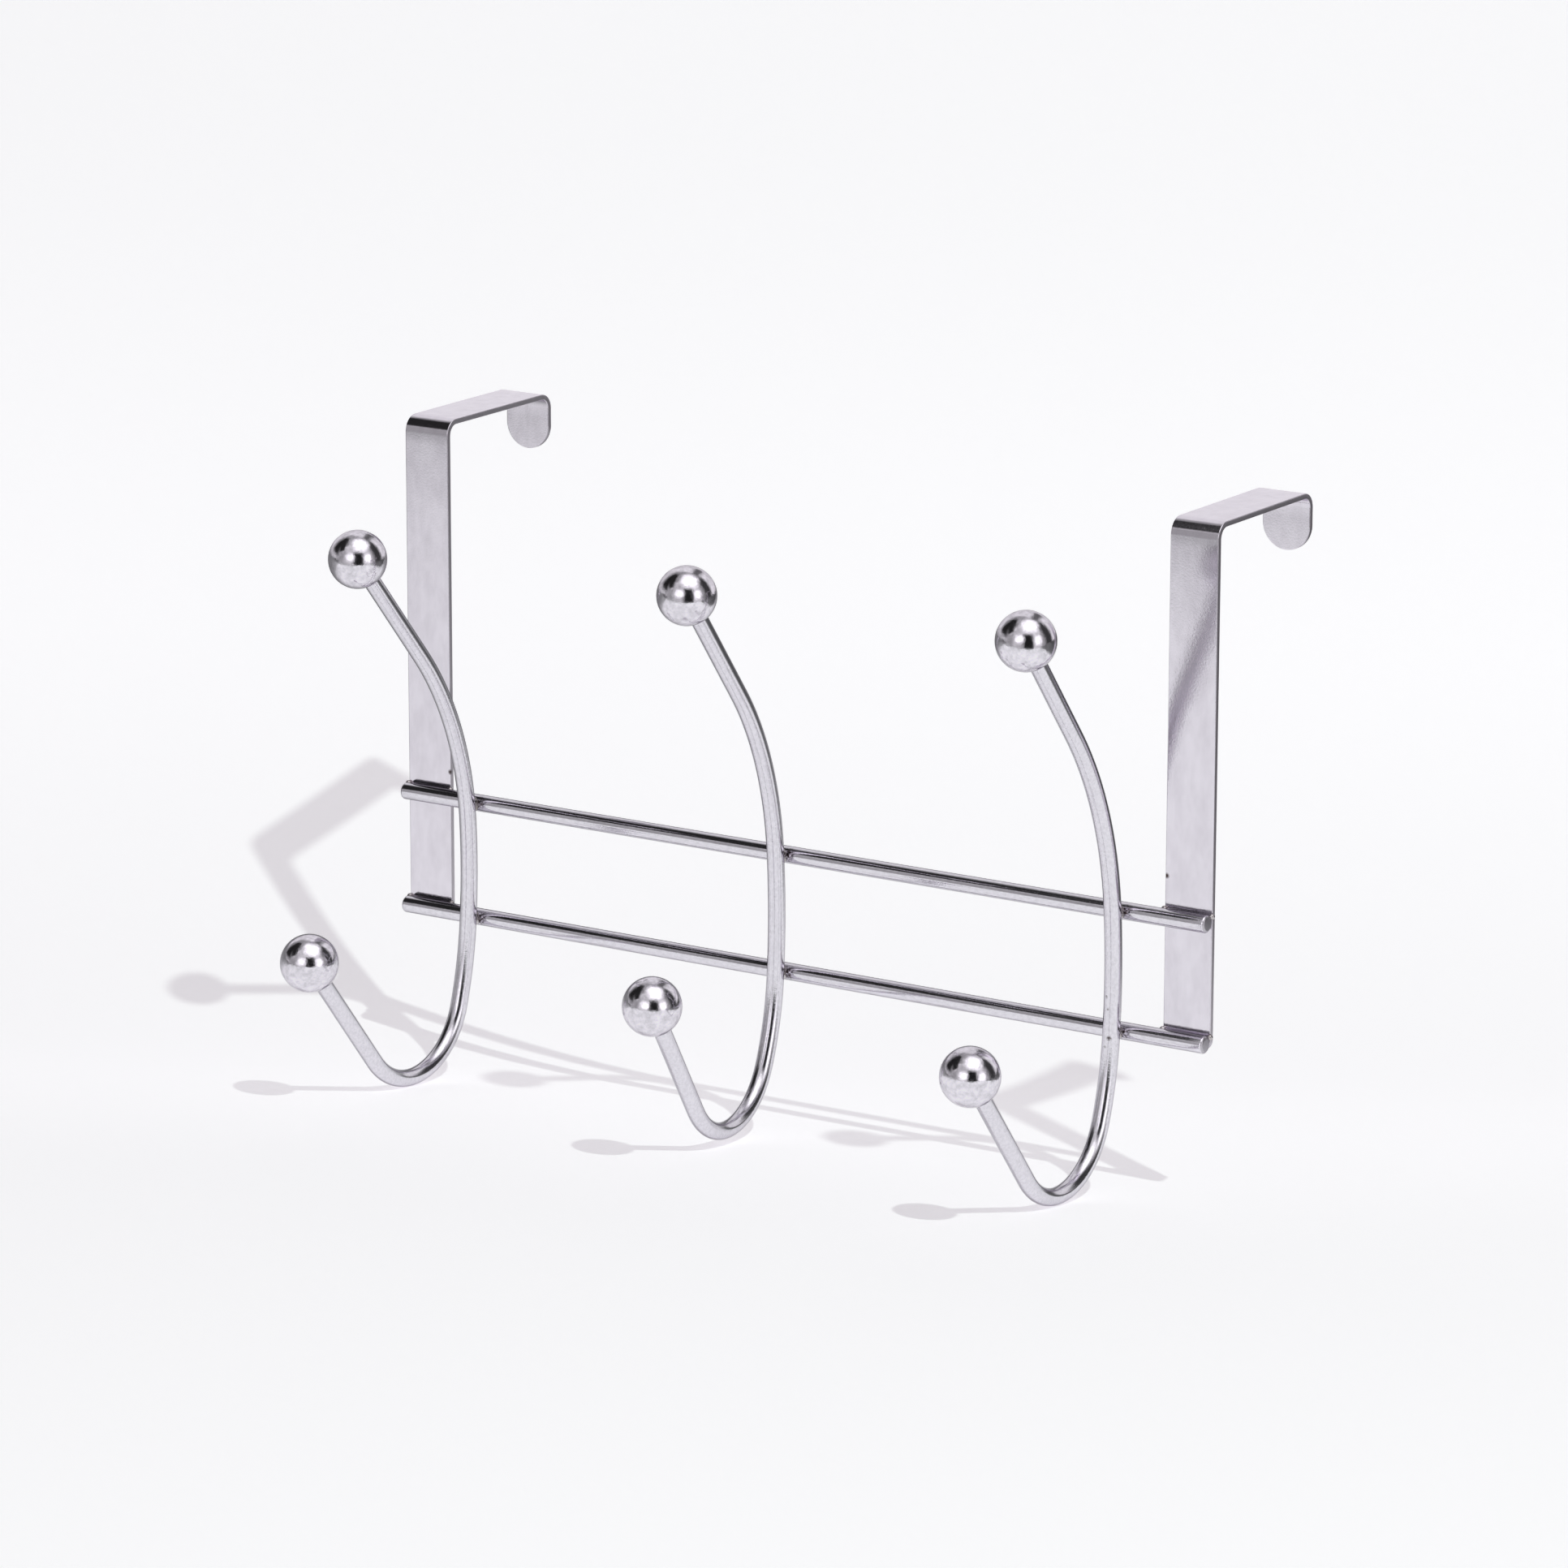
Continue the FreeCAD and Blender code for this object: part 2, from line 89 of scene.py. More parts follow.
def along_arc(centre, radius, start, end):
    """Points of an arc, its end points among them, at about the same turn from one to the next."""
    count = max(2, round(abs(end - start) / degrees_per_point))
    turns = [start + (end - start) * step / count for step in range(count + 1)]
    return [centre + radius * unit(turn) for turn in turns]


def hook_line(bends):
    """Centre line from the upper ball's centre to the lower ball's, in the hook's own plane."""
    upper_radius = bends["upper_radius"] * MM
    sweep_radius = bends["sweep_radius"] * MM
    top = math.degrees(math.asin((half_spacing + bends["start"] * MM) / back_radius))
    low = -math.degrees(math.asin(half_spacing / back_radius))
    lean = top + bends["upper_turn"]
    sweep = low - bends["sweep_turn"]
    heading = sweep - bends["crook_turn"]
    back_centre = Vector((-back_radius, 0))
    bend_centre = back_centre + (back_radius - upper_radius) * unit(top)
    sweep_centre = back_centre + (back_radius - sweep_radius) * unit(low)
    crook_centre = sweep_centre + (sweep_radius - crook_radius) * unit(sweep)
    line = [bend_centre + upper_radius * unit(lean) + bends["upper_arm"] * MM * unit(lean + 90)]
    line += along_arc(bend_centre, upper_radius, lean, top)
    line += along_arc(back_centre, back_radius, top, low)[1:]
    line += along_arc(sweep_centre, sweep_radius, low, sweep)[1:]
    line += along_arc(crook_centre, crook_radius, sweep, heading)[1:]
    line.append(line[-1] + bends["lower_arm"] * MM * unit(heading - 90))
    return line


def hook_frame(bends):
    """Turns and moves the hook's own plane to its place on the rails."""
    spot = Matrix.Translation((bends["x"] * MM, hook_y, rail_z["lower"] + half_spacing))
    return spot @ Matrix.Rotation(math.radians(bends["turn"]), 4, "Z")


def add_sockets(tree, way, kind, *names):
    """Gives a group named sockets of one kind: way is INPUT or OUTPUT."""
    for name in names:
        tree.interface.new_socket(name, in_out=way, socket_type="NodeSocket" + kind)


def set_inputs(node, **values):
    """Sets a node's inputs by name: from_min is the socket From Min."""
    for name, value in values.items():
        node.inputs[name.replace("_", " ").title()].default_value = value
    return node


def new_node(tree, kind, **values):
    """Adds a node with the given inputs."""
    return set_inputs(tree.nodes.new(kind), **values)


def math_node(tree, operation, constant=None, kind="ShaderNodeMath"):
    """Adds a math node, with a constant in its second input where it has one."""
    node = tree.nodes.new(kind)
    node.operation = operation
    if constant is not None:
        node.inputs[1].default_value = constant
    return node


def vector_node(tree, operation, constant=None):
    """Adds a vector math node, as math_node does."""
    return math_node(tree, operation, constant, "ShaderNodeVectorMath")


def colour_mix(tree, over=None):
    """Adds a colour mix. Its upper colour is fixed where over is given."""
    node = tree.nodes.new("ShaderNodeMix")
    node.data_type = "RGBA"
    if over is not None:
        node.inputs["B"].default_value = over
    return node


def group_node(tree, group, **values):
    """Places a node group in a tree with the given inputs."""
    node = tree.nodes.new("ShaderNodeGroup")
    node.node_tree = group
    return set_inputs(node, **values)


def wire_up(tree, steps):
    """Links sockets in order: each step is (from node, output, to node, input)."""
    for source, output, target, socket in steps:
        tree.links.new(source.outputs[output], target.inputs[socket])


def make_round_bar_tree():
    """Geometry Nodes: a line of edges becomes a round bar with closed ends."""
    tree = bpy.data.node_groups.new("round_bar", "GeometryNodeTree")
    add_sockets(tree, "INPUT", "Geometry", "Geometry")
    add_sockets(tree, "INPUT", "Float", "Diameter")
    add_sockets(tree, "INPUT", "Int", "Sides")
    add_sockets(tree, "INPUT", "Material", "Finish")
    add_sockets(tree, "OUTPUT", "Geometry", "Geometry")
    given = tree.nodes.new("NodeGroupInput")
    result = tree.nodes.new("NodeGroupOutput")
    line = tree.nodes.new("GeometryNodeMeshToCurve")
    half = math_node(tree, "MULTIPLY", 0.5)
    ring = tree.nodes.new("GeometryNodeCurvePrimitiveCircle")
    sweep = new_node(tree, "GeometryNodeCurveToMesh", fill_caps=True)
    smooth = tree.nodes.new("GeometryNodeSetShadeSmooth")
    realize = tree.nodes.new("GeometryNodeRealizeInstances")
    paint = tree.nodes.new("GeometryNodeSetMaterial")
    wire_up(tree, (
        (given, "Geometry", line, 0),
        (line, 0, sweep, "Curve"),
        (given, "Diameter", half, 0),
        (half, 0, ring, "Radius"),
        (given, "Sides", ring, "Resolution"),
        (ring, "Curve", sweep, "Profile Curve"),
        (sweep, "Mesh", smooth, "Geometry"),
        (smooth, "Geometry", realize, "Geometry"),
        (realize, "Geometry", paint, "Geometry"),
        (given, "Finish", paint, "Material"),
        (paint, "Geometry", result, "Geometry"),
    ))
    return tree


def grow(host_mesh, tree, name, **values):
    """Runs a Geometry Nodes tree on a host mesh and returns the plain mesh that it makes."""
    host = bpy.data.objects.new(name + "_host", host_mesh)
    bpy.context.scene.collection.objects.link(host)
    modifier = host.modifiers.new("build", "NODES")
    modifier.node_group = tree
    for item in tree.interface.items_tree:
        if item.item_type == "SOCKET" and item.in_out == "INPUT" and item.name in values:
            modifier[item.identifier] = values[item.name]
    graph = bpy.context.evaluated_depsgraph_get()
    graph.update()
    mesh = bpy.data.meshes.new_from_object(host.evaluated_get(graph))
    mesh.name = name
    host.modifiers.remove(modifier)
    bpy.data.objects.remove(host)
    return mesh


# All the steel is bright chrome over nickel, so every finish starts as the same mirror. What
# differs is how smooth the steel was before plating: turned balls are finest, drawn wire shows
# faint pits and specks, and flat bar keeps a rolled haze, smudges and a few thin scratches.
scorch_colour = (0.07, 0.05, 0.05, 1.0)
sheared_colour = (0.27, 0.25, 0.28, 1.0)
sheared_share = 0.5  # how much of its colour shows through the plating
sheared_roughness = 0.26  # added to the skin's own
scratch_turn = (0.0, math.radians(38), math.radians(12))
scratch_scale = (260.0, 700.0, 9.0)
pits_per_grain = 0.35


def make_plating_group():
    """Skin of plated steel: haze patches, fine grain, sparse pits and long thin scratches."""
    group = bpy.data.node_groups.new("plating_skin", "ShaderNodeTree")
    add_sockets(group, "INPUT", "Vector", "Coordinates", "Stretch")
    add_sockets(group, "INPUT", "Color", "Plate", "Haze")
    add_sockets(group, "INPUT", "Float", "Haze Amount", "Haze Size", "Smooth", "Rough",
                "Grain Size", "Pits", "Scratches", "Sheared", "Stain")
    add_sockets(group, "OUTPUT", "Color", "Colour")
    add_sockets(group, "OUTPUT", "Float", "Roughness", "Height")
    given = group.nodes.new("NodeGroupInput")
    result = group.nodes.new("NodeGroupOutput")

    stretched = vector_node(group, "MULTIPLY")
    patches = new_node(group, "ShaderNodeTexNoise", detail=3.0, roughness=0.6)
    patch_range = new_node(group, "ShaderNodeMapRange", from_min=0.35, from_max=0.7)
    patch_amount = math_node(group, "MULTIPLY")

    grain = new_node(group, "ShaderNodeTexNoise", detail=4.0)

    pit_scale = math_node(group, "MULTIPLY", pits_per_grain)
    pit_cells = group.nodes.new("ShaderNodeTexVoronoi")
    pit_mask = new_node(group, "ShaderNodeMapRange",
                        from_min=0.10, from_max=0.26, to_min=1.0, to_max=0.0)
    pit_amount = math_node(group, "MULTIPLY")

    drawn_out = new_node(group, "ShaderNodeMapping", rotation=scratch_turn, scale=scratch_scale)
    scratch_noise = new_node(group, "ShaderNodeTexNoise", scale=1.0, detail=1.0)
    scratch_mask = new_node(group, "ShaderNodeMapRange", from_min=0.70, from_max=0.74)
    scratch_amount = math_node(group, "MULTIPLY")

    hazed = colour_mix(group)
    stained = colour_mix(group, scorch_colour)
    sheared_amount = math_node(group, "MULTIPLY", sheared_share)
    dulled = colour_mix(group, sheared_colour)
    marks = math_node(group, "MAXIMUM")
    marks_or_stain = math_node(group, "MAXIMUM")
    worst = math_node(group, "MAXIMUM")
    roughness = group.nodes.new("ShaderNodeMapRange")
    torn = math_node(group, "MULTIPLY_ADD", sheared_roughness)
    height = math_node(group, "SUBTRACT")

    wire_up(group, (
        (given, "Coordinates", stretched, 0),
        (given, "Stretch", stretched, 1),
        (stretched, 0, patches, "Vector"),
        (given, "Haze Size", patches, "Scale"),
        (patches, "Fac", patch_range, "Value"),
        (patch_range, "Result", patch_amount, 0),
        (given, "Haze Amount", patch_amount, 1),
        (given, "Coordinates", grain, "Vector"),
        (given, "Grain Size", grain, "Scale"),
        (given, "Grain Size", pit_scale, 0),
        (given, "Coordinates", pit_cells, "Vector"),
        (pit_scale, 0, pit_cells, "Scale"),
        (pit_cells, "Distance", pit_mask, "Value"),
        (pit_mask, "Result", pit_amount, 0),
        (given, "Pits", pit_amount, 1),
        (given, "Coordinates", drawn_out, "Vector"),
        (drawn_out, 0, scratch_noise, "Vector"),
        (scratch_noise, "Fac", scratch_mask, "Value"),
        (scratch_mask, "Result", scratch_amount, 0),
        (given, "Scratches", scratch_amount, 1),
        (pit_amount, 0, marks, 0),
        (scratch_amount, 0, marks, 1),
        (given, "Stain", marks_or_stain, 0),
        (marks, 0, marks_or_stain, 1),
        (patch_amount, 0, worst, 0),
        (marks_or_stain, 0, worst, 1),
        (patch_amount, 0, hazed, "Factor"),
        (given, "Plate", hazed, "A"),
        (given, "Haze", hazed, "B"),
        (hazed, "Result", stained, "A"),
        (given, "Stain", stained, "Factor"),
        (stained, "Result", dulled, "A"),
        (given, "Sheared", sheared_amount, 0),
        (sheared_amount, 0, dulled, "Factor"),
        (dulled, "Result", result, "Colour"),
        (worst, 0, roughness, "Value"),
        (given, "Smooth", roughness, "To Min"),
        (given, "Rough", roughness, "To Max"),
        (given, "Sheared", torn, 0),
        (roughness, "Result", torn, 2),
        (torn, 0, result, "Roughness"),
        (grain, "Fac", height, 0),
        (marks, 0, height, 1),
        (height, 0, result, "Height"),
    ))
    return group


plating_group = make_plating_group()
edge_hue = (1.0, 0.98, 1.01)


def chrome(name, bump, edge, **skin_values):
    """A plated finish: bump is its relief, and edge how well it mirrors at a glancing angle."""
    finish = bpy.data.materials.new(name)
    finish.use_nodes = True
    tree = finish.node_tree
    shader = tree.nodes["Principled BSDF"]
    edge_tint = (*(edge * share for share in edge_hue), 1.0)
    set_inputs(shader, metallic=1.0, specular_tint=edge_tint)
    place = tree.nodes.new("ShaderNodeTexCoord")
    place.name = "place"
    skin = group_node(tree, plating_group, **skin_values)
    skin.name = "skin"
    relief = new_node(tree, "ShaderNodeBump", distance=bump)
    wire_up(tree, (
        (place, "Object", skin, "Coordinates"),
        (skin, "Colour", shader, "Base Color"),
        (skin, "Roughness", shader, "Roughness"),
        (skin, "Height", relief, "Height"),
        (relief, "Normal", shader, "Normal"),
    ))
    return finish


def new_piece(name, mesh, finish, slot, *nodes):
    """Links a finished mesh as a visible piece that stands for its CAD nodes."""
    piece = bpy.data.objects.new(name, mesh)
    bpy.context.scene.collection.objects.link(piece)
    if finish.name not in mesh.materials:
        mesh.materials.append(finish)
    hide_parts(*nodes)
    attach(piece, "root")
    return piece


wire_finish = chrome(
    "wire_chrome", bump=0.012 * MM, edge=0.48, plate=(0.72, 0.69, 0.755, 1.0),
    haze=(0.50, 0.475, 0.53, 1.0), haze_amount=0.45, haze_size=1500.0, stretch=(1.0, 1.0, 0.7),
    smooth=0.13, rough=0.21, grain_size=2600.0, pits=0.55)
round_bar = make_round_bar_tree()
short_of_centre = ball_dia / 2 - bore_depth
hook_ends = {}
for side, bends in hook_bends.items():
    line = [Vector((0, point.x, point.y)) for point in hook_line(bends)]
    place = hook_frame(bends)
    for end, tip, before in (("upper", line[0], line[1]), ("lower", line[-1], line[-2])):
        hook_ends[side, end] = (place @ tip, (place.to_3x3() @ (tip - before)).normalized())
    line[0] += (line[1] - line[0]).normalized() * short_of_centre
    line[-1] += (line[-2] - line[-1]).normalized() * short_of_centre
    path = bpy.data.meshes.new(f"{side}_path")
    path.from_pydata(line, [(i, i + 1) for i in range(len(line) - 1)], [])
    path.transform(place)
    rod = grow(path, round_bar, f"{side}_rod",
               Diameter=wire_dia, Sides=wire_sides, Finish=wire_finish)
    new_piece(f"{side}_rod", rod, wire_finish, "hook_wire", f"{side}_hook")

speck_scale = 1500.0
speck_blur = 0.16
speck_core = 0.35  # share of a spot's size within which it is darkest


def make_stain_group(name, spots, gaps):
    """Dark specks around (place, size) spots, broken up by noise with more or fewer gaps."""
    group = bpy.data.node_groups.new(name, "ShaderNodeTree")
    add_sockets(group, "INPUT", "Vector", "Coordinates")
    add_sockets(group, "OUTPUT", "Float", "Stain")
    given = group.nodes.new("NodeGroupInput")
    result = group.nodes.new("NodeGroupOutput")
    nearest = None
    for spot, size in spots:
        distance = vector_node(group, "DISTANCE", spot)
        in_sizes = math_node(group, "DIVIDE", size)
        wire_up(group, ((given, "Coordinates", distance, 0), (distance, "Value", in_sizes, 0)))
        if nearest is None:
            nearest = in_sizes
            continue
        closer = math_node(group, "MINIMUM")
        wire_up(group, ((nearest, 0, closer, 0), (in_sizes, 0, closer, 1)))
        nearest = closer
    reach = new_node(group, "ShaderNodeMapRange",
                     from_min=speck_core, from_max=1.0, to_min=1.0, to_max=0.0)
    speckle = new_node(group, "ShaderNodeTexNoise", scale=speck_scale, detail=3.0)
    sparse = new_node(group, "ShaderNodeMapRange", from_min=gaps, from_max=gaps + speck_blur)
    broken = math_node(group, "MULTIPLY")
    wire_up(group, (
        (nearest, 0, reach, "Value"),
        (given, "Coordinates", speckle, "Vector"),
        (speckle, "Fac", sparse, "Value"),
        (reach, "Result", broken, 0),
        (sparse, "Result", broken, 1),
        (broken, 0, result, "Stain"),
    ))
    return group


def stain(finish, group):
    """Lays a group of dark specks over a finish."""
    tree = finish.node_tree
    specks = group_node(tree, group)
    wire_up(tree, (
        (tree.nodes["place"], "Object", specks, "Coordinates"),
        (specks, "Stain", tree.nodes["skin"], "Stain"),
    ))


# Welding leaves scorched specks to the right of each crossing, and four pits show low on the right
# rod: x from the rod's middle, y, z and size, in millimetres.
scorch_right, scorch_forward, scorch_size = 2.6 * MM, 1.9 * MM, 2.3 * MM
scorch_lift = {"upper": 0.6 * MM, "lower": 0.2 * MM}
scorch_spots = [
    ((bends["x"] * MM + scorch_right, rail_y - scorch_forward, rail_z[level] + lift), scorch_size)
    for bends in hook_bends.values() for level, lift in scorch_lift.items()]
rod_pits = (
    (0.7, -10.8, -139.9, 0.9),
    (-0.3, -10.7, -142.4, 0.75),
    (-0.7, -10.6, -128.7, 0.7),
    (0.0, -10.7, -132.0, 0.6),
)
right_rod_x = hook_bends["right"]["x"] * MM
scorch_spots += [((right_rod_x + x * MM, y * MM, z * MM), size * MM) for x, y, z, size in rod_pits]
weld_stain = make_stain_group("weld_stain", scorch_spots, gaps=0.40)
stain(wire_finish, weld_stain)


# Ball tips. Turned steel balls drilled for the wire and pressed on, with a hairline groove where
# the wire enters. They carry the smoothest plating of all.
ball_rings = 72
ball_sides = 96
bore_slack = 0.02 * MM
mouth_round = 0.25 * MM
mouth_middle = 0.3 * mouth_round  # how far in the middle of the mouth's round lies
axis_limit = 1e-9  # a ring smaller than this is one point on the axis
ball_finish = chrome(
    "ball_chrome", bump=0.028 * MM, edge=0.72, plate=(0.77, 0.73, 0.805, 1.0),
    haze=(0.50, 0.475, 0.525, 1.0), haze_amount=0.8, haze_size=620.0, stretch=(1.0, 1.0, 1.0),
    smooth=0.08, rough=0.20, grain_size=1300.0, pits=0.25)


def turned(name, outline, sides):
    """Spins an outline of (radius, height) points about its height axis."""
    shape = bmesh.new()
    rings = []
    for radius, height in outline:
        if radius < axis_limit:
            rings.append([shape.verts.new((0, 0, height))])
            continue
        turns = [math.tau * k / sides for k in range(sides)]
        rings.append([shape.verts.new((radius * math.cos(turn), radius * math.sin(turn), height))
                      for turn in turns])
    for low, high in zip(rings, rings[1:]):
        for k in range(sides):
            after = (k + 1) % sides
            corners = [low[k % len(low)], low[after % len(low)],
                       high[after % len(high)], high[k % len(high)]]
            corners = list(dict.fromkeys(corners))
            if len(corners) > 2:
                shape.faces.new(corners)
    bmesh.ops.recalc_face_normals(shape, faces=shape.faces)
    mesh = bpy.data.meshes.new(name)
    shape.to_mesh(mesh)
    shape.free()
    mesh.shade_smooth()
    return mesh


def ball_outline():
    """From the bore's bottom out over its rounded mouth and round the ball to the far pole."""
    radius = ball_dia / 2
    bore = wire_dia / 2 + bore_slack
    mouth = math.asin((bore + mouth_round) / radius)
    mouth_height = -radius * math.cos(mouth)
    points = [(0, -radius + bore_depth), (bore, -radius + bore_depth),
              (bore, mouth_height + mouth_round),
              (bore + mouth_middle, mouth_height + mouth_middle)]
    for step in range(ball_rings + 1):
        angle = mouth + (math.pi - mouth) * step / ball_rings
        points.append((radius * math.sin(angle) if step < ball_rings else 0,
                       -radius * math.cos(angle)))
    return points


for (side, end), (centre, direction) in hook_ends.items():
    mesh = turned(f"{side}_{end}_tip", ball_outline(), ball_sides)
    turn = direction.to_track_quat("Z", "X").to_matrix().to_4x4()
    mesh.transform(Matrix.Translation(centre) @ turn)
    new_piece(f"{side}_{end}_tip", mesh, ball_finish, "ball", f"{side}_{end}_ball")


# Rails. Two straight lengths of drawn round bar laid across the front of both straps, cut flush
# with their outer edges and lightly tumbled, so that the ends are round instead of sharp.
rail_length = 2 * rail_end
rail_sides = 48
rail_stations = 60
rail_end_round = 0.8 * MM
rail_end_steps = 8
sheared_reach = 0.6 * rail_end_round
rail_finish = chrome(
    "rail_chrome", bump=0.012 * MM, edge=0.48, plate=(0.71, 0.68, 0.745, 1.0),
    haze=(0.48, 0.455, 0.51, 1.0), haze_amount=0.4, haze_size=1300.0, stretch=(0.5, 1.0, 1.0),
    smooth=0.10, rough=0.18, grain_size=2600.0, pits=0.3)


def mark_sheared(finish):
    """Lets the meshes' sheared attribute tell the skin where the steel was cut and left rough."""
    tree = finish.node_tree
    where = tree.nodes.new("ShaderNodeAttribute")
    where.attribute_name = "sheared"
    wire_up(tree, ((where, "Fac", tree.nodes["skin"], "Sheared"),))


def rail_outline():
    """From the middle of one end, over its rounded edge and along the bar, to the other end."""
    radius = rail_dia / 2
    end = []
    for step in range(rail_end_steps + 1):
        angle = math.radians(90 * step / rail_end_steps)
        end.append((radius - rail_end_round * (1 - math.sin(angle)),
                    rail_end_round * (1 - math.cos(angle))))
    straight = rail_length - 2 * rail_end_round
    along = [(radius, rail_end_round + straight * k / rail_stations)
             for k in range(1, rail_stations)]
    other_end = [(from_axis, rail_length - height) for from_axis, height in reversed(end)]
    return [(0, 0)] + end + along + other_end + [(0, rail_length)]


mark_sheared(rail_finish)
stain(rail_finish, weld_stain)
for level in ("upper", "lower"):
    mesh = turned(f"{level}_bar", rail_outline(), rail_sides)
    sheared = mesh.attributes.new("sheared", "FLOAT", "POINT")
    for corner, mark in zip(mesh.vertices, sheared.data):
        from_end = min(corner.co.z, rail_length - corner.co.z)
        mark.value = 1.0 if from_end < sheared_reach else 0.0
    laid_across = Matrix.Rotation(math.pi / 2, 4, "Y")
    mesh.transform(Matrix.Translation((-rail_end, rail_y, rail_z[level])) @ laid_across)
    new_piece(f"{level}_bar", mesh, rail_finish, "rail", f"{level}_rail")


# Straps. Flat steel bar with rounded mill edges, bent twice to saddle the door: a long leg in
# front, a plate over the top and a short lip behind with a fully round tip.
strap_low, strap_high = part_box("right_strap")
strap_width = strap_high.x - strap_low.x
strap_thick = strap_high.z
strap_bend_radius = 3.0 * MM
door_gap = strap_high.y - strap_thick
lip_drop = 15.2 * MM
leg_corner_radius = 3.5 * MM
edge_round = 0.25 * MM
edge_steps = 6
edge_support = 0.12 * MM  # the faces' first line of points inside each rounded edge
station_gap = 3.0 * MM
end_stations = 32
bend_stations = 16
tip_half_width = 0.15 * MM
merge_distance = 1e-7
strap_finish = chrome(
    "strap_chrome", bump=0.012 * MM, edge=0.96, plate=(0.70, 0.66, 0.73, 1.0),
    haze=(0.54, 0.50, 0.565, 1.0), haze_amount=0.4, haze_size=230.0, stretch=(1.2, 1.0, 0.5),
    smooth=0.12, rough=0.2, grain_size=1800.0, pits=0.2, scratches=0.35)
mark_sheared(strap_finish)

# Each leg has one dark nick on its inner edge, above the upper rail.
inner_edge = strap_low.x
nick_size = 0.95 * MM
nicks = [((-inner_edge - 0.1 * MM, strap_low.y, -99.4 * MM), nick_size),
         ((inner_edge + 0.4 * MM, strap_low.y, -95.4 * MM), nick_size)]
stain(strap_finish, make_stain_group("edge_nicks", nicks, gaps=0.12))


def strap_stations():
    """Points of the inner face along the bent bar, each with its direction outwards."""
    bend = strap_bend_radius
    runs = []

    def straight(start, end, outward, fine_start=0.0, fine_end=0.0):
        """A flat run. Its stations crowd together over the fine length at a shaped end."""
        length = (end - start).length
        count = max(2, round(length / station_gap))
        shares = {k / count for k in range(count + 1)}
        for k in range(end_stations + 1):
            crowded = (1 - math.cos(math.radians(90 * k / end_stations))) / length
            if fine_start:
                shares.add(fine_start * crowded)
            if fine_end:
                shares.add(1 - fine_end * crowded)
        runs.extend((start.lerp(end, share), outward) for share in sorted(shares))

    def curved(centre, start, end):
        """A bend, without its first and last points."""
        for k in range(1, bend_stations):
            angle = start + (end - start) * k / bend_stations
            runs.append((centre + bend * unit(angle), unit(angle)))

    straight(Vector((0, strap_low.z)), Vector((0, -bend)), Vector((-1, 0)),
             fine_start=leg_corner_radius)
    curved(Vector((bend, -bend)), 180, 90)
    straight(Vector((bend, 0)), Vector((door_gap - bend, 0)), Vector((0, 1)))
    curved(Vector((door_gap - bend, -bend)), 90, 0)
    straight(Vector((door_gap, -bend)), Vector((door_gap, -lip_drop)), Vector((1, 0)),
             fine_end=strap_width / 2)
    return runs


def strap_ring(half_width, half_thick, round_by):
    """Cross section of the bar: flat faces with a fine support line inside each rounded edge."""
    round_by = min(round_by, half_width, half_thick)
    inside = max(half_width - round_by - edge_support, 0)
    ring = []
    for corner in range(4):
        across = half_width - round_by if corner in (0, 3) else -(half_width - round_by)
        through = half_thick - round_by if corner in (0, 1) else -(half_thick - round_by)
        for step in range(edge_steps + 1):
            angle = 90 * (corner + step / edge_steps)
            point = Vector((across, through)) + round_by * unit(angle)
            ring.append((point.x, point.y))
        if corner == 0:
            ring += [(inside * share, half_thick) for share in (1, 0.5, 0, -0.5, -1)]
        if corner == 2:
            ring += [(inside * share, -half_thick) for share in (-1, -0.5, 0, 0.5, 1)]
    return ring


def strap_mesh(name, middle):
    """One bent strap around its middle, with its mill edges marked as sheared."""
    shape = bmesh.new()
    sheared = shape.verts.layers.float.new("sheared")
    runs = strap_stations()
    lengths = [0.0]
    for (here, _), (there, _) in zip(runs, runs[1:]):
        lengths.append(lengths[-1] + (there - here).length)
    half = strap_width / 2
    rings = []
    for (inner, outward), reach in zip(runs, lengths):
        from_leg = min(reach / leg_corner_radius, 1)
        from_tip = min((lengths[-1] - reach) / half, 1)
        leg_half_width = half - leg_corner_radius * (1 - math.sqrt(1 - (1 - from_leg) ** 2))
        lip_half_width = max(half * math.sqrt(1 - (1 - from_tip) ** 2), tip_half_width)
        half_width = min(leg_half_width, lip_half_width)
        end_gap = min(reach, lengths[-1] - reach, edge_round)
        thin = edge_round - math.sqrt(edge_round**2 - (edge_round - end_gap) ** 2)
        section = strap_ring(half_width, strap_thick / 2 - thin, edge_round)
        middle_line = inner + outward * strap_thick / 2
        ring = []
        for across, through in section:
            corner = shape.verts.new((middle + across, *(middle_line + outward * through)))
            corner[sheared] = 1.0 if abs(across) > half_width - edge_round / 2 else 0.0
            ring.append(corner)
        rings.append(ring)
    for low, high in zip(rings, rings[1:]):
        for k in range(len(low)):
            after = (k + 1) % len(low)
            shape.faces.new((low[k], low[after], high[after], high[k]))
    shape.faces.new(rings[0])
    shape.faces.new(rings[-1])
    bmesh.ops.remove_doubles(shape, verts=shape.verts, dist=merge_distance)
    bmesh.ops.recalc_face_normals(shape, faces=shape.faces)
    mesh = bpy.data.meshes.new(name)
    shape.to_mesh(mesh)
    shape.free()
    mesh.shade_smooth()
    return mesh


for side in ("left", "right"):
    low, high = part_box(f"{side}_strap")
    mesh = strap_mesh(f"{side}_bracket", (low.x + high.x) / 2)
    new_piece(f"{side}_bracket", mesh, strap_finish, "strap", f"{side}_strap")


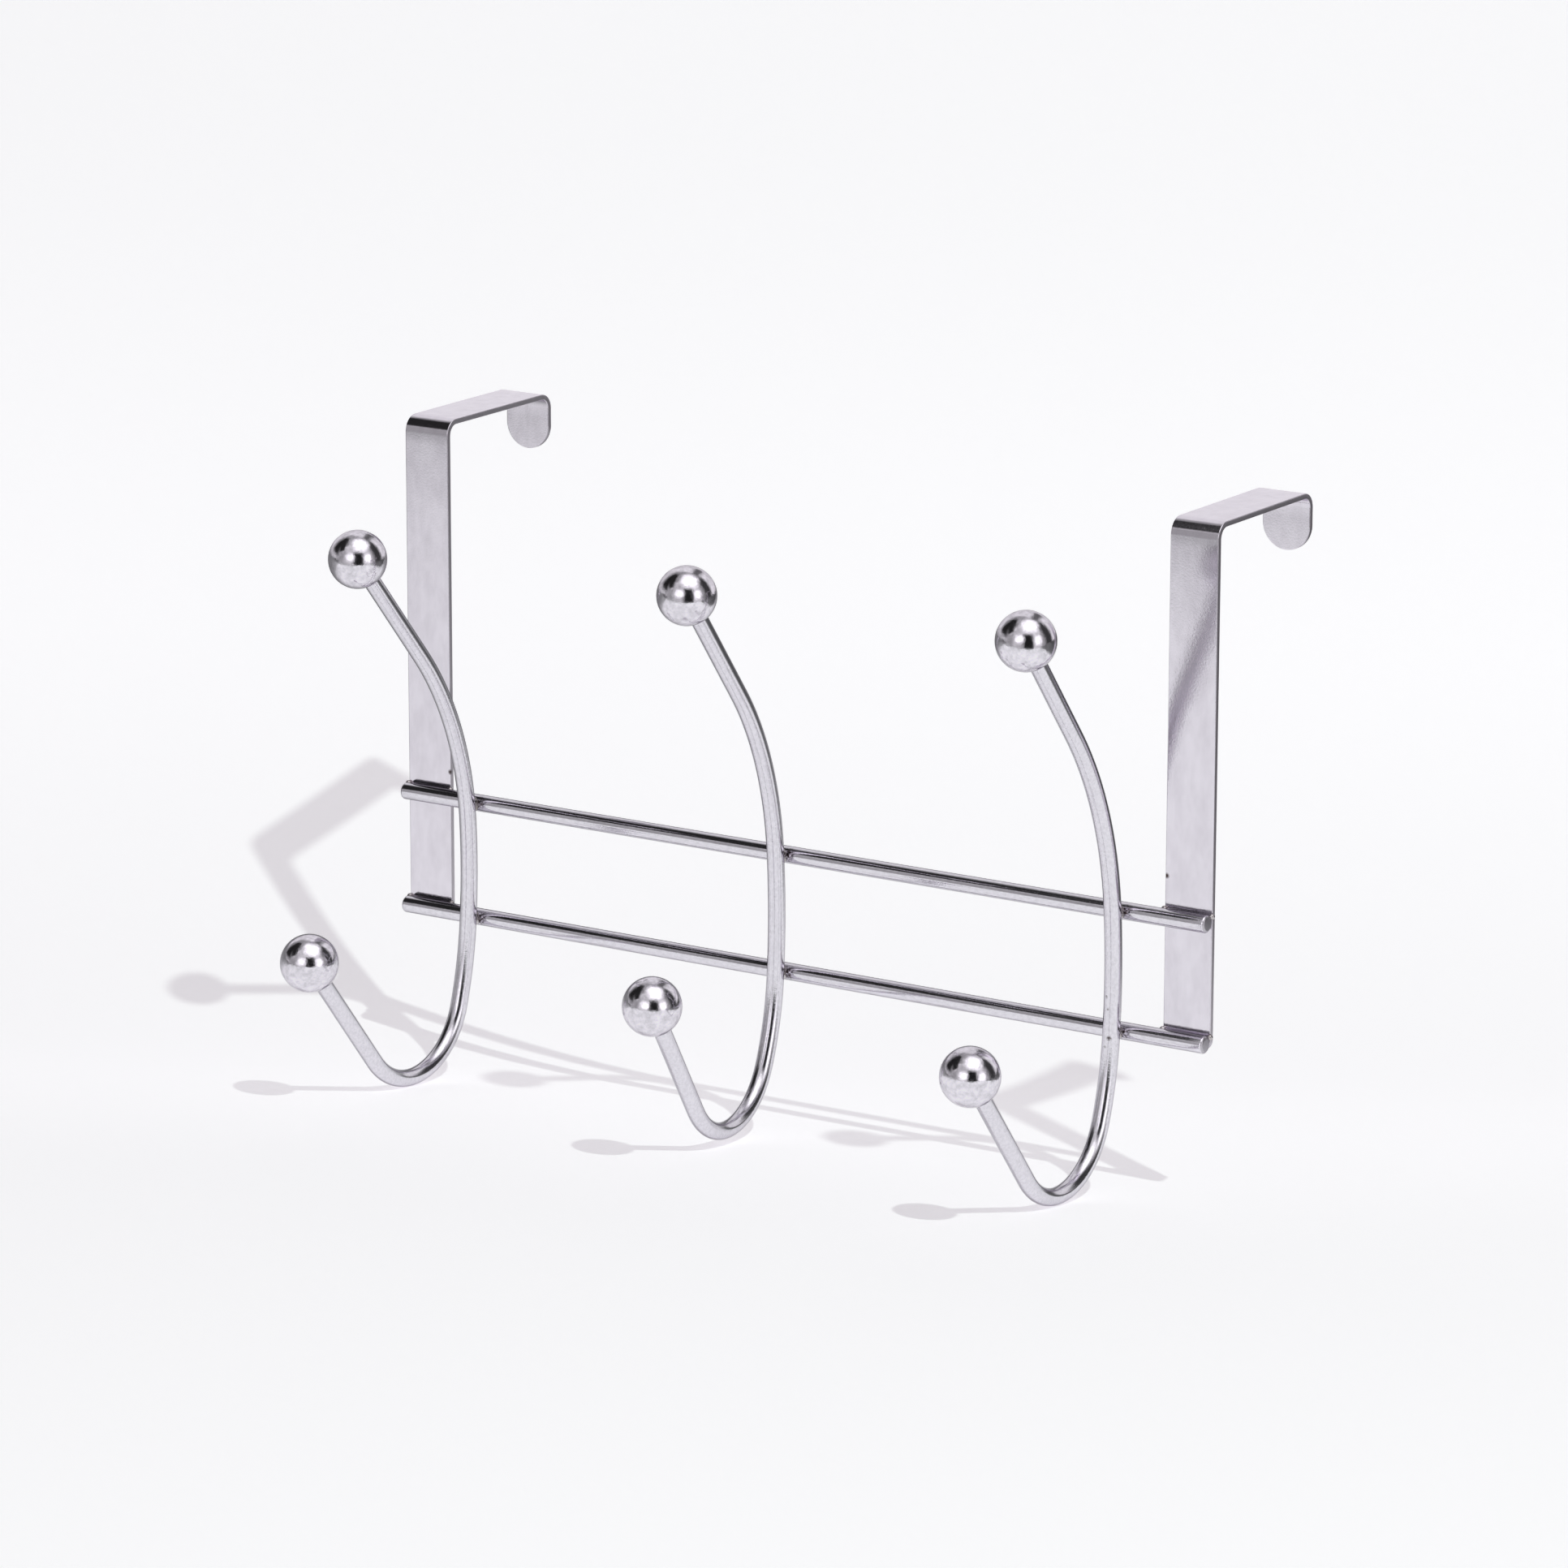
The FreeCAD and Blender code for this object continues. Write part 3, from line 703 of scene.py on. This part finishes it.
# Welds. Spot welds squeeze a small ring of metal out where a rod crosses a rail, and leave
# beads in the nooks at the strap's edges. Plating follows them but stays dull and lumpy.
weld_finish = chrome(
    "weld_chrome", bump=0.08 * MM, edge=0.7, plate=(0.55, 0.52, 0.54, 1.0),
    haze=(0.22, 0.18, 0.17, 1.0), haze_amount=0.8, haze_size=400.0, stretch=(1.0, 1.0, 1.0),
    smooth=0.15, rough=0.45, grain_size=1500.0, pits=0.6)
for node in ("rail_hook_welds", "rail_strap_welds"):
    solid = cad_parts[node]
    solid.data.materials.clear()
    solid.data.materials.append(weld_finish)


# Studio. The rack stands on its outer crooks on a plain pale table under one large overhead
# soft box, with two tall soft windows in front, a dark room between them and a white sweep behind.
# Azimuths start at the room in front of the rack and turn towards its right, in degrees.
camera_azimuth = 33.06
camera_elevation = 14.18
camera_roll = -0.09
camera_distance = 1966.3 * MM
camera_aim = Vector((-4.2, -1.5, -87.2)) * MM
focal_pixels = 8851.0
picture_side = 1932
sensor = 36.0
far_clip = 20.0


def compass(azimuth, elevation):
    """Direction from the rack at an azimuth and an elevation in degrees."""
    level = math.cos(math.radians(elevation))
    return Vector((math.sin(math.radians(azimuth)) * level,
                   -math.cos(math.radians(azimuth)) * level,
                   math.sin(math.radians(elevation))))


eye = camera_aim + camera_distance * compass(camera_azimuth, camera_elevation)
camera_data = bpy.data.cameras.new("camera")
camera_data.sensor_width = sensor
camera_data.lens = focal_pixels / picture_side * sensor
camera_data.clip_end = far_clip
camera = bpy.data.objects.new("camera", camera_data)
aim = (camera_aim - eye).to_track_quat("-Z", "Y").to_matrix().to_4x4()
roll = Matrix.Rotation(math.radians(-camera_roll), 4, "Z")
camera.matrix_world = Matrix.Translation(eye) @ aim @ roll
bpy.context.scene.collection.objects.link(camera)
bpy.context.scene.camera = camera

left_foot = min((v.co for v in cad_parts["left_hook"].data.vertices), key=lambda co: co.z)
right_foot = min((v.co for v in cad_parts["right_hook"].data.vertices), key=lambda co: co.z)
slope = (right_foot.z - left_foot.z) / (right_foot.x - left_foot.x)
foot_gap = 0.17 * MM
table_fall = -0.097
sweep_azimuth = 217.7
sweep_start = 50.8 * MM
sweep_rise = 2.685
sweep_end = 190 * MM
towards_eye = compass(camera_azimuth, 0)
towards_sweep = compass(sweep_azimuth, 0)


def table_height(x, y):
    """Paper height: level under the crooks, falling a little behind them, then sweeping up."""
    flat = left_foot.z + slope * (x - left_foot.x) + table_fall * (y - left_foot.y) - foot_gap
    past = max(x * towards_sweep.x + y * towards_sweep.y - sweep_start, 0)
    curved = min(past, sweep_end)
    return flat + sweep_rise * curved**2 + 2 * sweep_rise * sweep_end * (past - curved)


# The paper's rows run along the sweep, in metres from the rack, and are close where it curves.
fine_rows = [0.01 * k for k in range(33)]
rows = [-3.0, -1.5, -0.75, -0.3, -0.1] + fine_rows + [0.4, 0.7, 1.2, 2.0, 3.0]
spread = [-4.0, -2.0, -1.0, -0.5, -0.25, 0.0, 0.25, 0.5, 1.0, 2.0, 4.0]
level_side = compass(sweep_azimuth + 90, 0)
corners = [level_side * side + towards_sweep * step for step in rows for side in spread]
row = len(spread)
floor_mesh = bpy.data.meshes.new("paper_sweep")
floor_mesh.from_pydata(
    [(spot.x, spot.y, table_height(spot.x, spot.y)) for spot in corners], [],
    [(i, i + row, i + row + 1, i + 1) for i in range(len(corners) - row) if (i + 1) % row])
floor_mesh.shade_smooth()
floor = bpy.data.objects.new("paper_sweep", floor_mesh)
bpy.context.scene.collection.objects.link(floor)

# The paper glows a little, less in front and at the top of the view. Mirrored in the chrome it
# carries painted shade: it dims away from the rack, most behind it on the left where the rack's own
# shadow falls, and then ends. Each row is a direction and two distances from the rack in metres,
# and then the levels at both, or the share that is left.
paper_colour = (0.80, 0.80, 0.80, 1.0)
paper_glow_colour = (1.00, 0.955, 1.015, 1.0)
glow_in_front = (towards_eye, -0.04, 0.12, 0.51, 0.472)
glow_at_top = (towards_sweep, 0.25, 0.40, 1.0, 0.94)
mirrored_glow = 0.48
mirrored_ends = (
    (towards_eye, 0.47, 0.53),
    (towards_sweep, 0.28, 0.34),
)
# Painted shade of the mirrored paper: darker towards the back left under the rack's own shadow, the
# back right, far behind and far in front.
mirrored_painted_shade = (
    (compass(-125, 0), 0.10, 0.26, 0.45),
    (compass(146, 0), 0.25, 0.38, 0.17),
    (towards_sweep, 0.09, 0.24, 0.60),
    (compass(4, 0), 0.40, 0.62, 0.50),
)


def make_floor_finish():
    """Pale paper. Mirrored in the chrome it carries painted shade, dimmer at the left, and ends in
    front and behind.
    """
    finish = bpy.data.materials.new("pale_paper")
    finish.use_nodes = True
    tree = finish.node_tree
    nodes = tree.nodes
    nodes.remove(nodes["Principled BSDF"])
    place = nodes.new("ShaderNodeTexCoord")

    def reach_mask(direction, start, end, low, high):
        """Eases from low to high between two distances along a direction."""
        along = vector_node(tree, "DOT_PRODUCT", direction)
        mask = new_node(tree, "ShaderNodeMapRange",
                        from_min=start, from_max=end, to_min=low, to_max=high)
        mask.interpolation_type = "SMOOTHSTEP"
        wire_up(tree, ((place, "Object", along, 0), (along, "Value", mask, "Value")))
        return mask

    near_glow = reach_mask(*glow_in_front)
    top_fade = reach_mask(*glow_at_top)
    glow = math_node(tree, "MULTIPLY")
    paint = new_node(tree, "ShaderNodeBsdfDiffuse", color=paper_colour)
    lift = new_node(tree, "ShaderNodeEmission", color=paper_glow_colour)
    seen = nodes.new("ShaderNodeAddShader")
    wire_up(tree, (
        (near_glow, "Result", glow, 0),
        (top_fade, "Result", glow, 1),
        (glow, 0, lift, "Strength"),
        (paint, 0, seen, 0),
        (lift, 0, seen, 1),
    ))

    # Painted shade: the paper as the chrome mirrors it is dimmed row by row here.
    masks = [reach_mask(direction, start, end, 1.0, left)
             for direction, start, end, left in mirrored_painted_shade]
    dimmed = (masks[0], "Result")
    for mask in masks[1:]:
        product = math_node(tree, "MULTIPLY")
        wire_up(tree, ((*dimmed, product, 0), (mask, "Result", product, 1)))
        dimmed = (product, 0)
    mirrored_paint = nodes.new("ShaderNodeBsdfDiffuse")
    mirrored_lift = new_node(tree, "ShaderNodeEmission", strength=mirrored_glow)
    mirrored = nodes.new("ShaderNodeAddShader")
    wire_up(tree, (
        (*dimmed, mirrored_paint, "Color"),
        (*dimmed, mirrored_lift, "Color"),
        (mirrored_paint, 0, mirrored, 0),
        (mirrored_lift, 0, mirrored, 1),
    ))

    front, behind = [reach_mask(direction, start, end, 0.0, 1.0)
                     for direction, start, end in mirrored_ends]
    gone = math_node(tree, "MAXIMUM")
    nothing = nodes.new("ShaderNodeBsdfTransparent")
    ended = nodes.new("ShaderNodeMixShader")
    ray = nodes.new("ShaderNodeLightPath")
    chosen = nodes.new("ShaderNodeMixShader")
    facing = nodes.new("ShaderNodeNewGeometry")
    one_sided = nodes.new("ShaderNodeMixShader")
    wire_up(tree, (
        (front, "Result", gone, 0),
        (behind, "Result", gone, 1),
        (gone, 0, ended, "Fac"),
        (mirrored, 0, ended, 1),
        (nothing, 0, ended, 2),
        (ray, "Is Glossy Ray", chosen, "Fac"),
        (seen, 0, chosen, 1),
        (ended, 0, chosen, 2),
        (facing, "Backfacing", one_sided, "Fac"),
        (chosen, 0, one_sided, 1),
        (nothing, 0, one_sided, 2),
        (one_sided, 0, nodes["Material Output"], "Surface"),
    ))
    return finish


floor_mesh.materials.append(make_floor_finish())

# What the chrome sees around it, as soft-edged rectangles: name, azimuth, elevation, half width,
# half height, softness, roll and brightness. Later ones lie over earlier ones.
studio_panels = (
    ("white_sweep_behind", -164, 8, 48, 48, 15, 45, 0.96),
    ("side_wall_left", -70, 0, 41, 14, 4, -6, 0.67),
    ("dark_gap_left", -68, 37, 16, 17, 14, 3, 0.015),
    ("grey_wall_left", -30, 23, 11, 26, 20, -9, 0.42),
    ("ceiling_front", -17, 53, 28, 3.5, 8, -45, 0.75),
    ("dark_beam_left", -60, 46, 20, 7, 8, 35, 0.02),
    ("window_left_skirt", -1.5, 18, 10, 23, 17, 2, 0.70),
    ("window_right_skirt", 75.4, 4, 10, 27, 16, 2, 0.75),
    ("dark_room", 40.7, 6, 12, 26, 12, -3, 0.015),
    ("window_left", 5, 18, 6, 3, 18, -3, 1.85),
    ("window_right", 78, 12, 4, 6, 16, 0, 1.85),
    ("dark_gap_right", 126.4, 10.5, 9.4, 39, 16, 0, 0.05),
    ("dark_arch_behind", 153.7, 64.5, 42, 3, 12, 38, 0.16),
    ("overhead_soft_box", 64, 68, 10, 10.5, 29, 25, 2.0),
)
room_level = 0.41
fill_colour = (1.0, 0.99, 1.0, 1.0)
fill_level = 0.19
backdrop_colour = (1.0, 1.0, 1.0, 1.0)
least_ahead = 0.001


def make_panel_group():
    """One soft-edged rectangle of the studio, laid over what is behind it."""
    group = bpy.data.node_groups.new("studio_panel", "ShaderNodeTree")
    add_sockets(group, "INPUT", "Vector", "Direction", "Ahead", "Across", "Upward")
    add_sockets(group, "INPUT", "Float", "Half Width", "Half Height", "Softness", "Level", "Behind")
    add_sockets(group, "OUTPUT", "Float", "Level")
    given = group.nodes.new("NodeGroupInput")
    result = group.nodes.new("NodeGroupOutput")
    ahead = vector_node(group, "DOT_PRODUCT")
    in_front = math_node(group, "MAXIMUM", least_ahead)
    wire_up(group, (
        (given, "Direction", ahead, 0),
        (given, "Ahead", ahead, 1),
        (ahead, "Value", in_front, 0),
    ))
    squares = []
    for axis, reach in (("Across", "Half Width"), ("Upward", "Half Height")):
        along = vector_node(group, "DOT_PRODUCT")
        size = math_node(group, "ABSOLUTE")
        angle = math_node(group, "ARCTAN2")
        past = math_node(group, "SUBTRACT")
        outside = math_node(group, "MAXIMUM", 0.0)
        square = math_node(group, "POWER", 2.0)
        wire_up(group, (
            (given, "Direction", along, 0),
            (given, axis, along, 1),
            (along, "Value", size, 0),
            (size, 0, angle, 0),
            (in_front, 0, angle, 1),
            (angle, 0, past, 0),
            (given, reach, past, 1),
            (past, 0, outside, 0),
            (outside, 0, square, 0),
        ))
        squares.append(square)
    both = math_node(group, "ADD")
    away = math_node(group, "SQRT")
    fade = new_node(group, "ShaderNodeMapRange", from_min=0.0, to_min=1.0, to_max=0.0)
    fade.interpolation_type = "SMOOTHSTEP"
    laid_over = group.nodes.new("ShaderNodeMix")
    laid_over.data_type = "FLOAT"
    wire_up(group, (
        (squares[0], 0, both, 0),
        (squares[1], 0, both, 1),
        (both, 0, away, 0),
        (away, 0, fade, "Value"),
        (given, "Softness", fade, "From Max"),
        (fade, "Result", laid_over, "Factor"),
        (given, "Behind", laid_over, "A"),
        (given, "Level", laid_over, "B"),
        (laid_over, "Result", result, "Level"),
    ))
    return group


world = bpy.data.worlds.new("studio")
bpy.context.scene.world = world
world.use_nodes = True
tree = world.node_tree
tree.nodes.clear()
direction = tree.nodes.new("ShaderNodeTexCoord")
panel_group = make_panel_group()
room = tree.nodes.new("ShaderNodeValue")
room.outputs[0].default_value = room_level
source = (room, 0)
for name, azimuth, elevation, half_width, half_height, softness, roll, brightness in studio_panels:
    ahead = compass(azimuth, elevation)
    level_side = compass(azimuth + 90, 0)
    across = (math.cos(math.radians(roll)) * level_side
              + math.sin(math.radians(roll)) * level_side.cross(ahead))
    panel = group_node(
        tree, panel_group, ahead=ahead, across=across, upward=across.cross(ahead),
        half_width=math.radians(half_width), half_height=math.radians(half_height),
        softness=math.radians(softness), level=brightness)
    panel.label = name
    wire_up(tree, ((direction, "Generated", panel, "Direction"), (*source, panel, "Behind")))
    source = (panel, "Level")
ray = tree.nodes.new("ShaderNodeLightPath")
reflected = tree.nodes.new("ShaderNodeBackground")
fill = new_node(tree, "ShaderNodeBackground", color=fill_colour, strength=fill_level)
backdrop = new_node(tree, "ShaderNodeBackground", color=backdrop_colour)
for_chrome = tree.nodes.new("ShaderNodeMixShader")
for_camera = tree.nodes.new("ShaderNodeMixShader")
out = tree.nodes.new("ShaderNodeOutputWorld")
wire_up(tree, (
    (*source, reflected, "Color"),
    (ray, "Is Glossy Ray", for_chrome, "Fac"),
    (fill, 0, for_chrome, 1),
    (reflected, 0, for_chrome, 2),
    (ray, "Is Camera Ray", for_camera, "Fac"),
    (for_chrome, 0, for_camera, 1),
    (backdrop, 0, for_camera, 2),
    (for_camera, 0, out, "Surface"),
))

# The key light is a small bright lamp in front and to the right, well above the rack.
key_azimuth = 59.5
key_elevation = 57.05
key_distance = 2245 * MM
key_data = bpy.data.lights.new("key_light", "POINT")
key_data.energy = 73.0
key_data.color = (0.88, 0.968, 0.906)
key_data.shadow_soft_size = 26 * MM
key_light = bpy.data.objects.new("key_light", key_data)
key_light.location = camera_aim + key_distance * compass(key_azimuth, key_elevation)
key_light.visible_glossy = False
key_light.visible_camera = False
bpy.context.scene.collection.objects.link(key_light)

bpy.context.scene.view_settings.view_transform = "Standard"
